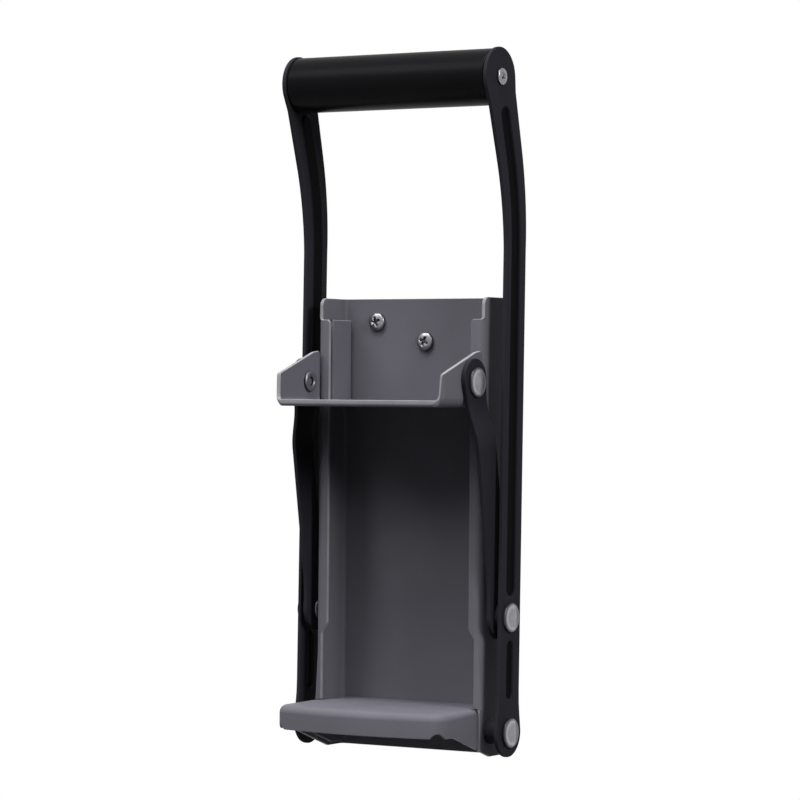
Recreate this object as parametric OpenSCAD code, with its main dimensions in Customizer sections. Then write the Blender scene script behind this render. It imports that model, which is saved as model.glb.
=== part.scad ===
// Wall-mounted lever can crusher.
// Millimetres. The wall is the plane y = 0 and the crusher stands out from it towards -Y.
// z = 0 is the shelf's top face, x = 0 is the middle, and the handle is drawn up, as it rests.

/* [Back channel] */
// Outer width of the channel
channel_w = 100; // [92:1:108]
// Distance from the wall to the channel's front face
channel_d = 26.6; // [25:0.2:30]
// Height of the channel's top edge above the shelf
channel_top = 211; // [206:1:225]
// Depth of the channel's bottom edge below the shelf's top face
channel_drop = 25; // [22:0.5:28]
// Thickness of the gray sheet: channel, shelf and crush plate
sheet = 2; // [1.6:0.1:2.4]
// Outside radius of the channel's bends
channel_bend_r = 4; // [3:0.5:5]
// Width that each lip folds in over the channel's front
lip_w = 7.2; // [6.4:0.2:8]
// Distance from the channel's top edge down to the lips' upper ends
lip_top_gap = 11.4; // [8:0.2:14]
// Radius of the lips' upper inner corners
lip_corner_r = 2; // [1:0.5:3]
// How much narrower the lips are next to the shelf
lip_relief = 3.3; // [2:0.1:4]
// Height above the shelf up to which the lips are narrower
lip_relief_h = 41; // [30:1:46]
// Height over which the lips' edge sweeps out to that narrower part
lip_relief_run = 6.5; // [4:0.5:8]
// Radius of the side walls' upper front corners
side_corner_r = 4; // [2:0.5:6]

/* [Shelf] */
// Distance from the wall to the middle of the shelf's bowed front edge
shelf_reach = 71.5; // [70:0.5:76]
// How far the front edge stands back at the corners
shelf_bow = 5; // [3:0.5:7]
// Radius of the shelf's front corners, seen from above
shelf_corner_r = 9; // [7:0.5:11]
// Radius of the bend from the shelf's top into its skirt
shelf_edge_r = 4; // [3:0.5:5]
// Depth of the skirt along the front
skirt_front = 12.5; // [11:0.5:15]
// Distance from the wall at which the side skirts start to deepen
skirt_slope_out = 52; // [50:0.5:58]
// Distance from the wall at which that slope runs out, on the channel's sides
skirt_deep_out = 15.5; // [12:0.5:20]
// Width of the relief notch in the skirt at each front corner
notch_w = 9; // [6:0.5:11]
// Height of that notch
notch_h = 2.6; // [1.5:0.1:3.5]
// Height of the slit between the shelf's skirt and the channel's side
slit_h = 9; // [6:0.5:12]
// Width of that slit
slit_w = 1.2; // [0.8:0.1:1.6]

/* [Crush plate] */
// Distance from the wall to the plate's front edge
plate_reach = 69; // [67:0.5:72]
// Outside radius of the bends from the plate up into its ears
plate_bend_r = 5; // [4:0.5:6]
// Inside radius of the bend along the plate's front edge
plate_curl_r = 0.6; // [0.4:0.1:1.5]
// Height of the curl along the plate's front edge, above the plate's top face
plate_curl_h = 1.4; // [1:0.1:3]
// Height of the ears at the plate's front edge
ear_front_h = 15.5; // [14:0.5:18]
// Height of the ears next to the channel
ear_rear_h = 28.8; // [27:0.5:32]
// Length of the ears' level top next to the channel
ear_flat = 4; // [2:0.5:8]
// Radius of the ears' upper rear corners
ear_corner_r = 1.5; // [1:0.5:2]
// Height of the plate's rivets above its underside
plate_pin_h = 12.9; // [12:0.1:14]
// Height of the guide flanges that run inside the channel
guide_h = 45.3; // [40:0.5:50]
// Thickness of the guide flanges
guide_t = 1.8; // [1.4:0.1:2]
// Outside radius of the guide flanges' bends
guide_bend_r = 2.6; // [2.2:0.1:3]
// Gap between the crush plate and the channel that guides it
guide_gap = 0.4; // [0.3:0.05:0.6]

/* [Linkage] */
// Distance from the wall to the lever's pivot
pivot_out = 16.5; // [16:0.1:18]
// Depth of the lever's pivot below the shelf's top face
pivot_drop = 12; // [11:0.2:13]
// Distance from the lever's pivot to the crank rivet
crank_r = 59; // [56:0.5:60]
// Distance between the link's two rivets
link_span = 122; // [121:0.5:126]
// Distance from the wall to the crush plate's rivets
plate_pin_out = 37.5; // [37:0.1:40]

/* [Links] */
// Thickness of the link
link_t = 2.3; // [2:0.1:2.6]
// Width of the link's strip
link_w = 17.4; // [15:0.2:18]
// Radius of the eye at the crush plate
link_eye_r = 11; // [10:0.2:11.6]
// How far the eye's round end lies above its rivet
link_eye_up = 1.2; // [0:0.1:1.6]
// Radius of the foot at the crank rivet
link_foot_r = 11.6; // [10:0.2:12.4]
// Distance above the crank rivet at which the foot has narrowed to the strip
link_foot_taper = 26; // [20:1:34]
// Distance below the eye's rivet at which the strip starts to widen
link_eye_taper = 26; // [20:1:40]
// How far the link steps outward between eye and foot
link_step = 4; // [3.6:0.1:4.4]
// Distance below the eye's rivet at which the step starts
link_step_from = 9; // [8:0.5:12]
// Distance below the eye's rivet at which the step ends
link_step_to = 34; // [26:1:50]

/* [Lever arms] */
// Thickness of the arm
arm_t = 2; // [1.6:0.1:2.6]
// Width of the arm
arm_w = 20.4; // [19:0.2:21.4]
// Diameter of the arm's round upper end, which covers the grip's end
arm_end_d = 30.4; // [28:0.2:34]
// How much narrower than its round end the arm is there, on each side
arm_tip_inset = 1.5; // [0.6:0.1:2]
// Radius of the arm's lower end, round the pivot
arm_eye_r = 12.5; // [11.4:0.1:13]
// Distance between the channel's side and the arm's inner face
arm_gap = 9.5; // [9:0.1:11]
// Angle by which the arm's straight part leans back to the wall
arm_lean = 0.85; // [0:0.05:1]
// Length of the arm's straight part above the pivot
arm_straight = 247; // [240:1:260]
// Radius of the arm's forward bend
arm_bend_r = 170; // [140:5:200]
// Forward angle of the arm's upper end
arm_tip_angle = 16; // [12:1:20]
// Length of the arm above the bend, to the middle of the grip
arm_tip = 39.8; // [34:0.2:46]
// Width of the pressed groove above the crank rivet
groove_w = 8.6; // [6:0.2:10]
// Depth of the pressed grooves
groove_depth = 1; // [0.6:0.1:1.2]
// Height above the pivot at which the upper groove starts
groove_from = 74; // [73:1:84]
// Distance below the middle of the grip at which the upper groove ends
groove_to = 20; // [18:1:30]
// Width of the short groove between pivot and crank rivet
low_groove_w = 6; // [4:0.2:7]
// Height above the pivot at which the short groove starts
low_groove_from = 20; // [18:1:24]
// Height above the pivot at which the short groove ends
low_groove_to = 44; // [38:1:46]

/* [Grip] */
// Diameter of the grip
grip_d = 29; // [27:0.5:31]
// Rounding of the grip's ends
grip_end_r = 1.5; // [0.5:0.5:3]
// Diameter of the tie rod inside the grip
tie_rod_d = 11; // [9:0.5:13]
// Diameter of the grip screws' heads
grip_screw_head_d = 8.6; // [8:0.2:10]
// Height of the grip screws' heads
grip_screw_head_h = 2; // [1.6:0.1:2.6]
// Diameter of the grip screws' shanks
grip_screw_d = 4.8; // [4:0.2:5.4]
// Length of the grip screws' shanks
grip_screw_l = 16; // [12:1:22]

/* [Rivets] */
// Diameter of the rivets' domed outer heads
rivet_head_d = 15; // [13:0.5:16]
// Height of the domed outer heads
rivet_head_h = 2.5; // [2:0.1:3]
// Diameter of the rivets' shanks
rivet_d = 8; // [7:0.2:8.6]
// Diameter of the rivets' closed inner ends
rivet_tail_d = 11; // [10:0.5:12]
// Height of the closed inner ends
rivet_tail_h = 1.8; // [1.4:0.1:2.2]
// Diameter of the spacer tubes at the lever's pivot
spacer_d = 12.4; // [11.6:0.2:13]
// Diameter of the washers between link and arm
washer_d = 16; // [13:0.5:17]

/* [Wall screws] */
// Diameter of the pan heads
screw_head_d = 9.6; // [9:0.2:10.4]
// Height of the pan heads
screw_head_h = 2.9; // [2.4:0.1:3.4]
// Diameter of the shanks
screw_d = 4.8; // [4.4:0.2:5.2]
// Diameter of the necks between shank and head
screw_neck_d = 4.2; // [3.8:0.1:4.3]
// Length of the shanks
screw_l = 25; // [19:1:38]
// Length of the shanks' pointed tips
screw_tip = 6; // [4:0.5:8]
// Distance of the upper screw to the left of the middle
upper_screw_x = 28; // [24:0.5:32]
// Distance of the upper screw below the channel's top edge
upper_screw_drop = 12; // [9:0.5:14]
// Distance of the lower screw to the right of the middle
lower_screw_x = 1.6; // [0:0.2:8]
// Distance of the lower screw below the channel's top edge
lower_screw_drop = 22.4; // [20:0.2:26]

/* [Fits] */
// Radial clearance of a rivet or screw in its hole
hole_clear = 0.05; // [0.02:0.01:0.08]
// Side clearance between pieces that turn on each other
side_clear = 0.3; // [0.2:0.05:0.4]

/* [Hidden] */
$fn = 64;
eps = 0.01;            // overlap that joins or cuts through cleanly
past = 1;              // how far a cutter runs past the face that it opens

// Colours of the finishes
frame_gray = "#6b696f";
lever_black = "#242428";
grip_black = "#1e1e20";
zinc = "#c9cacd";

// Side faces, from the middle outward
side_out = channel_w / 2;
side_in = side_out - sheet;
tab_in = side_in - sheet;
eye_in = side_out + side_clear;
eye_out = eye_in + link_t;
foot_in = eye_in + link_step;
foot_out = foot_in + link_t;
arm_in = side_out + arm_gap;
arm_out = arm_in + arm_t;

// Pivots, with the handle up
pivot = [-pivot_out, -pivot_drop];
crank = [pivot[0], pivot[1] + crank_r];
link_lean = asin((plate_pin_out - pivot_out) / link_span);
plate_pin = [-plate_pin_out, crank[1] + link_span * cos(link_lean)];
plate_z = plate_pin[1] - plate_pin_h;

// Channel
lip_top = channel_top - lip_top_gap;
lip_edge = side_out - lip_w;
lip_back = -channel_d + sheet;

// Lower edge of the shelf's side skirts and the channel's sides, as a height at y
skirt_slope = (channel_drop - skirt_front) / (skirt_slope_out - skirt_deep_out);
function skirt_z(y) = -channel_drop + skirt_slope * (-skirt_deep_out - y);

// Arm: the ends of its bend and the middle of the grip, from the pivot as [forward, up]
bend_start = [-sin(arm_lean), cos(arm_lean)] * arm_straight;
bend_end = bend_start + arm_bend_r * [
    cos(arm_lean) - cos(arm_tip_angle), sin(arm_lean) + sin(arm_tip_angle)
];
grip_from_pivot = bend_end + arm_tip * [sin(arm_tip_angle), cos(arm_tip_angle)];
grip = [pivot[0] - grip_from_pivot[0], pivot[1] + grip_from_pivot[1]];

// Points of an arc about c, from angle a to angle b in n steps
function arc(c, r, a, b, n) = [for (i = [0:n]) c + r * [cos(a + (b - a) * i / n), sin(a + (b - a) * i / n)]];

// Middle line of the arm as [forward, up, direction]; s is the length along it from the pivot
function arm_point(s) =
    let (bend_l = arm_bend_r * (arm_lean + arm_tip_angle) * PI / 180)
    s < arm_straight
        ? [-sin(arm_lean) * s, cos(arm_lean) * s, -arm_lean]
        : s < arm_straight + bend_l
            ? let (a = -arm_lean + (s - arm_straight) / arm_bend_r * 180 / PI)
              [bend_start[0] + arm_bend_r * (cos(arm_lean) - cos(a)),
               bend_start[1] + arm_bend_r * (sin(arm_lean) + sin(a)), a]
            : let (t = s - arm_straight - bend_l, a = arm_tip_angle)
              [bend_end[0] + t * sin(a), bend_end[1] + t * cos(a), a];
arm_length = arm_straight + arm_bend_r * (arm_lean + arm_tip_angle) * PI / 180 + arm_tip;
bend_steps = 14;

// Lengths along the arm from a to b: the ends, and steps through the bend between them
function arm_stations(a, b) =
    let (bend_b = arm_length - arm_tip)
    concat([a], [for (i = [0:bend_steps]) let (s = arm_straight + (bend_b - arm_straight) * i / bend_steps)
        if (s > a && s < b) s], [b]);

// A strip of half widths h0 to h1 along the arm, as [y, z]; it widens only above the bend
function arm_strip(a, b, h0, h1) =
    let (ss = arm_stations(a, b),
         h = function (s) s <= arm_straight ? h0 : h0 + (h1 - h0) * (s - arm_straight) / (b - arm_straight),
         edge = function (s, side) let (p = arm_point(s))
            [pivot[0] - p[0] - side * h(s) * cos(p[2]), pivot[1] + p[1] - side * h(s) * sin(p[2])])
    concat([for (s = ss) edge(s, 1)], [for (i = [len(ss) - 1:-1:0]) edge(ss[i], -1)]);

// Draws its 2D child in the plane of y and z, from x on outward, t thick
module upright(x, t) translate([x, 0, 0]) rotate([90, 0, 90]) linear_extrude(t) children();

// Lays its child, drawn along +Z, along +X from the point at x and the pivot p
module along_x(x, p) translate([x, p[0], p[1]]) rotate([0, 90, 0]) children();

module left_side() mirror([1, 0, 0]) children();

module both_sides() {
    children();
    left_side() children();
}

// A rectangle with round corners, from corner a to corner b
module round_rect(a, b, r) {
    translate([a[0] + r, a[1]]) square([b[0] - a[0] - 2 * r, b[1] - a[1]]);
    translate([a[0], a[1] + r]) square([b[0] - a[0], b[1] - a[1] - 2 * r]);
    for (x = [a[0] + r, b[0] - r], y = [a[1] + r, b[1] - r]) translate([x, y]) circle(r);
}

// A domed head on the plane z = 0
module dome(d, h) {
    rim = h / 4;
    cap = h - rim;
    ball = (d * d / 4 + cap * cap) / (2 * cap);
    cylinder(d = d, h = rim + eps);
    intersection() {
        translate([0, 0, h - ball]) sphere(ball);
        translate([0, 0, rim]) cylinder(d = d, h = cap + eps);
    }
}

module hole_x(p, d, x0, x1) along_x(x0, p) cylinder(r = d / 2 + hole_clear, h = x1 - x0);

// ---------------------------------------------------------------- frame

module channel_section() {
    difference() {
        round_rect([-side_out, -channel_d], [side_out, 0], channel_bend_r);
        round_rect([-side_in, lip_back], [side_in, -sheet], channel_bend_r - sheet);
        translate([-lip_edge, -channel_d - past]) square([2 * lip_edge, channel_d - 2 * sheet]);
    }
}

// What is cut from a side wall above the lip, in y and z: the lip, and the round corner
module lip_top_cut() {
    difference() {
        translate([-channel_d - past, lip_top]) square([sheet + past + side_corner_r, lip_top_gap + past]);
        translate([lip_back + side_corner_r, channel_top - side_corner_r]) circle(side_corner_r);
        translate([lip_back, lip_top - past]) square([channel_d, lip_top_gap + past - side_corner_r]);
    }
}

// The part of the lip that is cut back next to the shelf, in x and z, with an edge that sweeps out
module lip_relief_cut() {
    steps = 10;
    polygon(concat(
        [[lip_edge - past, -past], [lip_edge + lip_relief, -past]],
        [for (i = [0:steps]) [lip_edge + lip_relief * (1 + cos(180 * i / steps)) / 2,
                              lip_relief_h - lip_relief_run * (1 - i / steps)]],
        [[lip_edge - past, lip_relief_h]]
    ));
}

// What is cut from the bottom of a side wall, in y and z, below the line of the shelf's skirt
module side_bottom_cut() {
    front = -channel_d - past;
    polygon([
        [front, -channel_drop - past], [-skirt_deep_out, -channel_drop - past],
        [-skirt_deep_out, -channel_drop], [front, skirt_z(front)]
    ]);
}

// The round upper inner corner of the lip, in x and z
module lip_corner_cut() {
    r = lip_corner_r;
    polygon(concat(
        [[lip_edge - past, lip_top - r], [lip_edge - past, lip_top + past], [lip_edge + r, lip_top + past]],
        arc([lip_edge + r, lip_top - r], r, 90, 180, 6)
    ));
}

module back_channel() {
    color(frame_gray) difference() {
        union() {
            linear_extrude(channel_top) channel_section();
            // below the shelf the channel has no lips
            translate([0, 0, -channel_drop]) linear_extrude(channel_drop + eps) difference() {
                union() {
                    round_rect([-side_out, -channel_d], [side_out, 0], channel_bend_r);
                    translate([-side_out, -channel_d]) square([channel_w, channel_bend_r]);
                }
                round_rect([-side_in, -channel_d * 2], [side_in, -sheet], channel_bend_r - sheet);
            }
        }
        both_sides() {
            upright(lip_edge - past, lip_w + 2 * past) lip_top_cut();
            upright(lip_edge - past, lip_w + 2 * past) side_bottom_cut();
            translate([0, lip_back + eps, 0]) rotate([90, 0, 0]) linear_extrude(sheet + past) {
                lip_relief_cut();
                lip_corner_cut();
            }
            hole_x(pivot, rivet_d, side_in - past, side_out + past);
        }
        for (p = wall_screws) translate([p[0], past, p[1]]) rotate([90, 0, 0])
            cylinder(r = screw_d / 2 + hole_clear, h = sheet + 2 * past);
    }
}

// The shelf's outline seen from above, drawn in by inset
function shelf_outline(inset) =
    let (corner_out = shelf_reach - shelf_bow,
         half = side_out - shelf_corner_r,
         bow_r = (half * half + shelf_bow * shelf_bow) / (2 * shelf_bow),
         bow_a = asin(half / bow_r),
         r = shelf_corner_r - inset)
    concat(
        [[side_out - inset, 0], [-side_out + inset, 0]],
        arc([-half, -corner_out + shelf_corner_r], r, 180, 270 - bow_a / 2, 6),
        arc([0, -shelf_reach + bow_r], bow_r - inset, 270 - bow_a, 270 + bow_a, 10),
        arc([half, -corner_out + shelf_corner_r], r, 270 + bow_a / 2, 360, 6)
    );

// A solid block of the shelf's outline with a round top edge, drawn in by inset
module shelf_block(inset) {
    r = shelf_edge_r - inset;
    bend_steps = 5;
    rings = concat(
        [[for (p = shelf_outline(inset)) [p[0], p[1], -channel_drop - past]]],
        [for (i = [0:bend_steps]) let (a = 90 * i / bend_steps)
            [for (p = shelf_outline(inset + r * (1 - cos(a)))) [p[0], p[1], -shelf_edge_r + r * sin(a)]]]
    );
    n = len(rings[0]);
    top = len(rings) - 1;
    polyhedron(
        points = [for (ring = rings, p = ring) p],
        faces = concat(
            [[for (j = [0:n - 1]) j], [for (j = [n - 1:-1:0]) top * n + j]],
            [for (i = [0:top - 1], j = [0:n - 1]) let (k = (j + 1) % n)
                [i * n + k, i * n + j, (i + 1) * n + j]],
            [for (i = [0:top - 1], j = [0:n - 1]) let (k = (j + 1) % n)
                [i * n + k, (i + 1) * n + j, (i + 1) * n + k]]
        )
    );
}

// Side view of the shelf in y and z, with the skirts that deepen towards the wall
module shelf_side() {
    polygon([
        [-shelf_reach - past, past], [-shelf_reach - past, -skirt_front], [-skirt_slope_out, -skirt_front],
        [-skirt_deep_out, -channel_drop], [past, -channel_drop], [past, past]
    ]);
}

module base_shelf() {
    tab_gap = hole_clear;
    corner = [side_out - shelf_corner_r, -shelf_reach + shelf_bow + shelf_corner_r];
    notch_r = (notch_w * notch_w / 4 + notch_h * notch_h) / (2 * notch_h);
    color(frame_gray) {
        difference() {
            intersection() {
                difference() {
                    shelf_block(0);
                    shelf_block(sheet);
                }
                upright(-side_out - past, channel_w + 2 * past) shelf_side();
                // the skirts stop at the channel's side walls; the top runs on to its web
                union() {
                    translate([-side_out, -shelf_reach, -channel_drop])
                        cube([channel_w, shelf_reach - channel_d - slit_w, channel_drop]);
                    translate([-side_out, -channel_d - slit_w - eps, -channel_drop])
                        cube([channel_w, slit_w - tab_gap + eps, channel_drop - slit_h]);
                    translate([-side_in + shelf_edge_r, -channel_d - slit_w - eps, -sheet - eps])
                        cube([2 * (side_in - shelf_edge_r), channel_d + slit_w - sheet - tab_gap, 2 * sheet]);
                }
            }
            both_sides() translate([corner[0], corner[1], -skirt_front + notch_h - notch_r])
                rotate([90, 0, 45]) cylinder(r = notch_r, h = 2 * shelf_corner_r);
        }
        both_sides() shelf_tab();
    }
}

// The tab that runs back inside the channel's side wall, and carries the pivot rivet
module shelf_tab() {
    tab_front = -channel_d - 2 * shelf_edge_r;
    tab_back = -sheet - channel_bend_r;
    difference() {
        union() {
            upright(tab_in, sheet) polygon([
                [tab_front, -shelf_edge_r], [tab_front, skirt_z(tab_front) + sheet],
                [-skirt_deep_out, -channel_drop + sheet], [tab_back, -channel_drop + sheet],
                [tab_back, -shelf_edge_r]
            ]);
            // the bend from the tab up into the shelf's top
            translate([0, tab_back, 0]) rotate([90, 0, 0]) linear_extrude(tab_back - tab_front) difference() {
                translate([side_in - shelf_edge_r, -shelf_edge_r]) circle(shelf_edge_r);
                translate([side_in - shelf_edge_r, -shelf_edge_r]) circle(shelf_edge_r - sheet);
                translate([0, -2 * shelf_edge_r]) square([side_in - shelf_edge_r - eps, 2 * shelf_edge_r]);
                translate([0, -2 * shelf_edge_r]) square([side_in, shelf_edge_r]);
            }
        }
        hole_x(pivot, rivet_d, tab_in - past, side_in + past);
    }
}

wall_screws = [
    [-upper_screw_x, channel_top - upper_screw_drop],
    [lower_screw_x, channel_top - lower_screw_drop]
];

// A domed screw head with a cross recess
module screw_head(d, h) {
    recess_l = 0.54 * d;
    recess_w = 1;
    difference() {
        dome(d, h);
        for (a = [0, 90]) rotate(a) translate([-recess_l / 2, -recess_w / 2, h / 2])
            cube([recess_l, recess_w, h]);
    }
}

// A pan-head screw through the web, with its shank in the wall
module wall_screw(p) {
    color(zinc) translate([p[0], -sheet, p[1]]) rotate([90, 0, 0]) {
        screw_head(screw_head_d, screw_head_h);
        translate([0, 0, -sheet - eps]) cylinder(d = screw_neck_d, h = sheet + 2 * eps);
        translate([0, 0, screw_tip - screw_l]) cylinder(d = screw_d, h = screw_l - screw_tip - sheet);
        translate([0, 0, -screw_l]) cylinder(d1 = screw_d / 8, d2 = screw_d, h = screw_tip + eps);
    }
}

module pivot_rivet() {
    shank = arm_out + side_clear - tab_in;
    color(zinc) along_x(tab_in, pivot) {
        cylinder(d = rivet_d, h = shank + eps);
        translate([0, 0, shank]) dome(rivet_head_d, rivet_head_h);
        rotate([180, 0, 0]) dome(rivet_tail_d, rivet_tail_h);
    }
}

module pivot_spacer() {
    color(lever_black) along_x(side_out, pivot) difference() {
        cylinder(d = spacer_d, h = arm_gap - side_clear);
        translate([0, 0, -past]) cylinder(r = rivet_d / 2 + hole_clear, h = arm_gap + 2 * past);
    }
}

// ---------------------------------------------------------------- crush plate

// Side view of the ear and the plate in front of the channel, in y and z from the plate's underside
module ear_side() {
    back = -channel_d - 2 * guide_gap;
    r = sheet + plate_curl_r;
    polygon(concat(
        arc([-plate_reach + r, r], r, 270, 180, 6),
        [[-plate_reach, ear_front_h], [back - ear_flat, ear_rear_h]],
        arc([back - ear_corner_r, ear_rear_h - ear_corner_r], ear_corner_r, 90, 0, 4),
        [[back, 0]]
    ));
}

// The outside of the plate and its ears, seen from the front
module ear_outside() round_rect([-side_out, 0], [side_out, 2 * ear_rear_h], plate_bend_r);

// The plate and its ears, seen from the front, bent from one strip
module ear_section() {
    difference() {
        ear_outside();
        round_rect([-side_in, sheet], [side_in, 3 * ear_rear_h], plate_bend_r - sheet);
    }
}

// The curl along the plate's front edge, in y and z
module curl_side() {
    top = sheet + plate_curl_h;
    r = sheet + plate_curl_r;
    intersection() {
        ear_side();
        difference() {
            translate([-plate_reach, 0]) square([plate_reach / 2, top]);
            translate([-plate_reach + r, r]) circle(plate_curl_r);
            translate([-plate_reach + sheet, r]) square([plate_reach, top]);
            translate([-plate_reach + r, sheet]) square([plate_reach, top]);
        }
    }
}

// The right guide flange seen from above: its face stands in line with the lip's edge, and it
// turns outward along the web and behind the lip as far as the channel's bends
module guide_section() {
    out = side_in - channel_bend_r + sheet;
    front = lip_back + guide_gap;
    back = -sheet - guide_gap;
    intersection() {
        difference() {
            round_rect([lip_edge, front], [side_out + channel_w, back], guide_bend_r);
            round_rect([lip_edge + guide_t, front + guide_t], [side_out + channel_w, back - guide_t],
                guide_bend_r - guide_t);
        }
        translate([0, -channel_d]) square([out, channel_d]);
    }
}

module crush_plate() {
    out = side_in - guide_gap;
    front = lip_back + guide_gap;
    back = -sheet - guide_gap;
    neck = lip_edge - guide_gap;
    color(frame_gray) translate([0, 0, plate_z]) difference() {
        union() {
            intersection() {
                upright(-side_out, channel_w) ear_side();
                rotate([90, 0, 0]) linear_extrude(2 * plate_reach) ear_section();
            }
            intersection() {
                upright(-side_out, channel_w) curl_side();
                rotate([90, 0, 0]) linear_extrude(2 * plate_reach) ear_outside();
            }
            translate([-neck, -channel_d - 2 * guide_gap - eps, 0])
                cube([2 * neck, channel_d + 2 * guide_gap + front + 2 * sheet, sheet]);
            linear_extrude(sheet) round_rect([-out, front], [out, back], channel_bend_r - sheet + guide_gap);
            both_sides() linear_extrude(guide_h) guide_section();
        }
        translate([0, 0, -plate_z]) both_sides() hole_x(plate_pin, rivet_d, side_in - past, side_out + past);
    }
}

// The plate's rivet is drawn as two solids that meet between ear and link
module plate_rivet_tail() {
    color(zinc) along_x(side_in, plate_pin) {
        cylinder(d = rivet_d, h = sheet);
        rotate([180, 0, 0]) dome(rivet_tail_d, rivet_tail_h);
    }
}

module plate_rivet_head() {
    color(zinc) along_x(eye_in, plate_pin) {
        cylinder(d = rivet_d, h = link_t + eps);
        translate([0, 0, link_t]) dome(rivet_head_d, rivet_head_h);
    }
}

// ---------------------------------------------------------------- links

// The link's outline, from its foot at the origin up to its eye
module link_outline() {
    half = link_w / 2;
    // the edges start just inside the round ends, a degrees from the rivet's level
    a = 10;
    foot_r = link_foot_r - 0.1;
    eye_r = link_eye_r - 0.1;
    eye_z = link_span + link_eye_up;
    edge = [
        [foot_r * cos(a), foot_r * sin(a)], [half, link_foot_taper],
        [half, link_span - link_eye_taper], [eye_r * cos(a), eye_z - eye_r * sin(a)]
    ];
    difference() {
        union() {
            circle(link_foot_r);
            translate([0, eye_z]) circle(link_eye_r);
            polygon(concat(edge, [for (i = [len(edge) - 1:-1:0]) [-edge[i][0], edge[i][1]]]));
        }
        for (z = [0, link_span]) translate([0, z]) circle(rivet_d / 2 + hole_clear);
    }
}

// The link seen from the front: flat at the eye, stepped outward, flat again to the foot
module link_step_section() {
    top = link_span + 2 * link_eye_r;
    high = link_span - link_step_from;
    low = link_span - link_step_to;
    bottom = -2 * link_foot_r;
    polygon([
        [eye_in, top], [eye_out, top], [eye_out, high], [foot_out, low], [foot_out, bottom],
        [foot_in, bottom], [foot_in, low], [eye_in, high]
    ]);
}

module link() {
    wide = 2 * link_eye_r;
    color(lever_black) translate([0, crank[0], crank[1]]) rotate([link_lean, 0, 0]) intersection() {
        upright(eye_in, foot_out - eye_in) link_outline();
        translate([0, wide, 0]) rotate([90, 0, 0]) linear_extrude(2 * wide) link_step_section();
    }
}

// ---------------------------------------------------------------- lever

module arm_outline() {
    translate(pivot) circle(arm_eye_r);
    translate(grip) circle(d = arm_end_d);
    polygon(arm_strip(0, arm_length, arm_w / 2, arm_end_d / 2 - arm_tip_inset));
}

// A groove's outline between two lengths along the arm
module groove_outline(from, to, w) {
    polygon(arm_strip(from, to, w / 2, w / 2));
    for (s = [from, to]) let (p = arm_point(s))
        translate([pivot[0] - p[0], pivot[1] + p[1]]) circle(d = w);
}

module grooves(inset) {
    groove_outline(groove_from, arm_length - groove_to, groove_w - 2 * inset);
    groove_outline(low_groove_from, low_groove_to, low_groove_w - 2 * inset);
}

module lever_arm() {
    color(lever_black) difference() {
        union() {
            upright(arm_in, arm_t) arm_outline();
            upright(arm_in - groove_depth, groove_depth + eps) grooves(0);
        }
        upright(arm_out - groove_depth, groove_depth + past) grooves(groove_depth / 2);
        hole_x(pivot, rivet_d, arm_in - groove_depth - past, arm_out + past);
        hole_x(crank, rivet_d, arm_in - groove_depth - past, arm_out + past);
        hole_x(grip, grip_screw_d, arm_in - groove_depth - past, arm_out + past);
    }
}

module crank_rivet() {
    inner = foot_in - side_clear;
    color(zinc) along_x(inner, crank) {
        cylinder(d = rivet_d, h = arm_out - inner + eps);
        translate([0, 0, arm_out - inner]) dome(rivet_head_d, rivet_head_h);
        rotate([180, 0, 0]) dome(rivet_tail_d, rivet_tail_h);
    }
}

module crank_washer() {
    color(lever_black) along_x(foot_out + side_clear, crank) difference() {
        cylinder(d = washer_d, h = arm_in - foot_out - side_clear);
        translate([0, 0, -past]) cylinder(r = rivet_d / 2 + hole_clear, h = arm_gap);
    }
}

module grip_sleeve() {
    half = arm_in - hole_clear;
    r = grip_d / 2;
    color(grip_black) along_x(0, grip) rotate_extrude($fn = 96) polygon(concat(
        [[tie_rod_d / 2 + hole_clear, -half]],
        arc([r - grip_end_r, -half + grip_end_r], grip_end_r, -90, 0, 5),
        arc([r - grip_end_r, half - grip_end_r], grip_end_r, 0, 90, 5),
        [[tie_rod_d / 2 + hole_clear, half]]
    ));
}

module grip_tie_rod() {
    half = arm_in - hole_clear;
    color(zinc) difference() {
        along_x(-half, grip) cylinder(d = tie_rod_d, h = 2 * half);
        both_sides() hole_x(grip, grip_screw_d, arm_out - grip_screw_l - past, arm_in + past);
    }
}

module grip_screw() {
    color(zinc) along_x(arm_out, grip) {
        screw_head(grip_screw_head_d, grip_screw_head_h);
        translate([0, 0, -grip_screw_l]) cylinder(d = grip_screw_d, h = grip_screw_l + eps);
    }
}

back_channel();
base_shelf();
wall_screw(wall_screws[0]);  // wall_screw_upper
wall_screw(wall_screws[1]);  // wall_screw_lower
left_side() pivot_rivet();  // pivot_rivet_left
pivot_rivet();  // pivot_rivet_right
left_side() pivot_spacer();  // pivot_spacer_left
pivot_spacer();  // pivot_spacer_right
crush_plate();
left_side() plate_rivet_tail();  // plate_rivet_tail_left
plate_rivet_tail();  // plate_rivet_tail_right
left_side() link();  // link_left
link();  // link_right
left_side() plate_rivet_head();  // plate_rivet_head_left
plate_rivet_head();  // plate_rivet_head_right
left_side() lever_arm();  // lever_arm_left
lever_arm();  // lever_arm_right
left_side() crank_rivet();  // crank_rivet_left
crank_rivet();  // crank_rivet_right
left_side() crank_washer();  // crank_washer_left
crank_washer();  // crank_washer_right
grip_sleeve();
grip_tie_rod();
left_side() grip_screw();  // grip_screw_left
grip_screw();  // grip_screw_right
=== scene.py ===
"""Looks of the wall-mounted lever can crusher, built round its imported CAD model.

Lengths are in millimetres until a mesh is made. The wall is the plane y = 0, the crusher stands
out from it towards -Y, z = 0 is the shelf's top face, and the handle is up.
"""

from math import asin, cos, hypot, pi, radians, sin, sqrt

import bmesh
import bpy
from mathutils import Matrix, Vector


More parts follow.
